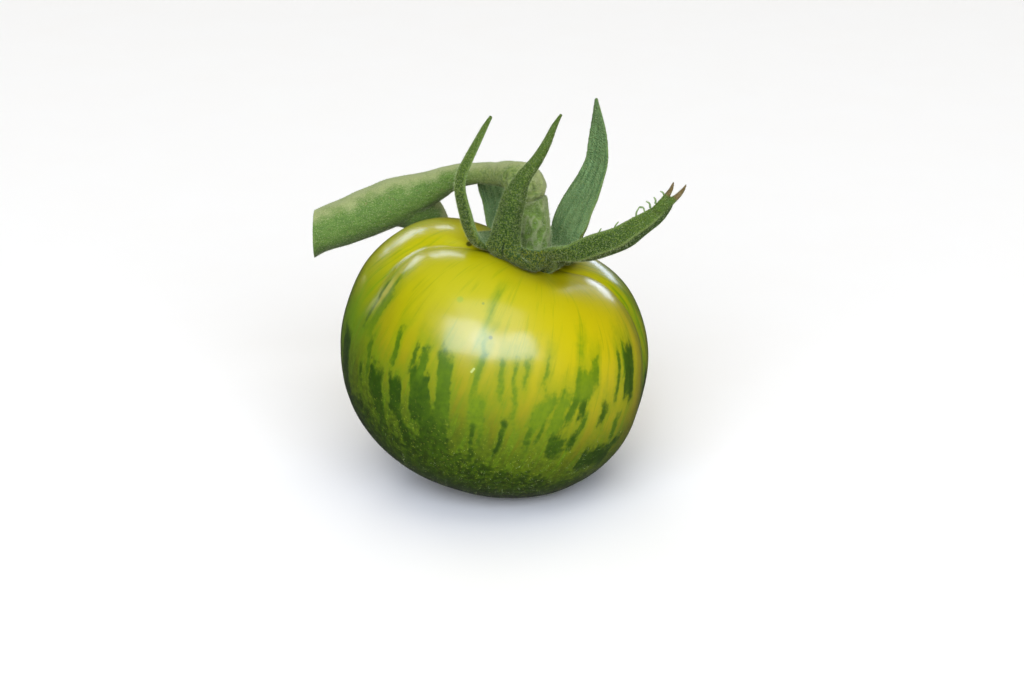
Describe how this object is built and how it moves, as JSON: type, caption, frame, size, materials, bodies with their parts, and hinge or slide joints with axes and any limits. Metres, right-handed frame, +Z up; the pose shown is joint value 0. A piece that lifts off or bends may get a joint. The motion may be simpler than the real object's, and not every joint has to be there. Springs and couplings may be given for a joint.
{
  "type": "tomato",
  "caption": "Striped green and yellow tomato with sepals, jointed stalk and a cut piece of truss stem, resting on a small flat spot.",
  "frame": {"origin": "centre of the small flat spot under the fruit", "axes": "+Z up from the resting surface; +X the way the stem end leans; the truss stem runs off towards -X; -Y the side seen in the picture"},
  "size_m": [0.07, 0.0589, 0.0767],
  "materials": {
    "fruit_skin": "glossy waxy skin, yellow with dark green broken stripes along the meridians",
    "calyx_green": "matt dark green leaf, finely hairy",
    "pedicel_green": "matt grey-green, finely hairy",
    "stem_green": "matt light green, faintly streaked and finely hairy, with a pale cut end"
  },
  "bodies": {
    "root": {"fruit": "fruit_skin", "calyx_hub": "calyx_green", "sepal_front": "calyx_green", "sepal_right": "calyx_green", "sepal_back_right": "calyx_green", "sepal_back_left": "calyx_green", "sepal_left": "calyx_green", "pedicel_lower": "pedicel_green", "truss_stem": "stem_green"}
  },
  "joints": []
}
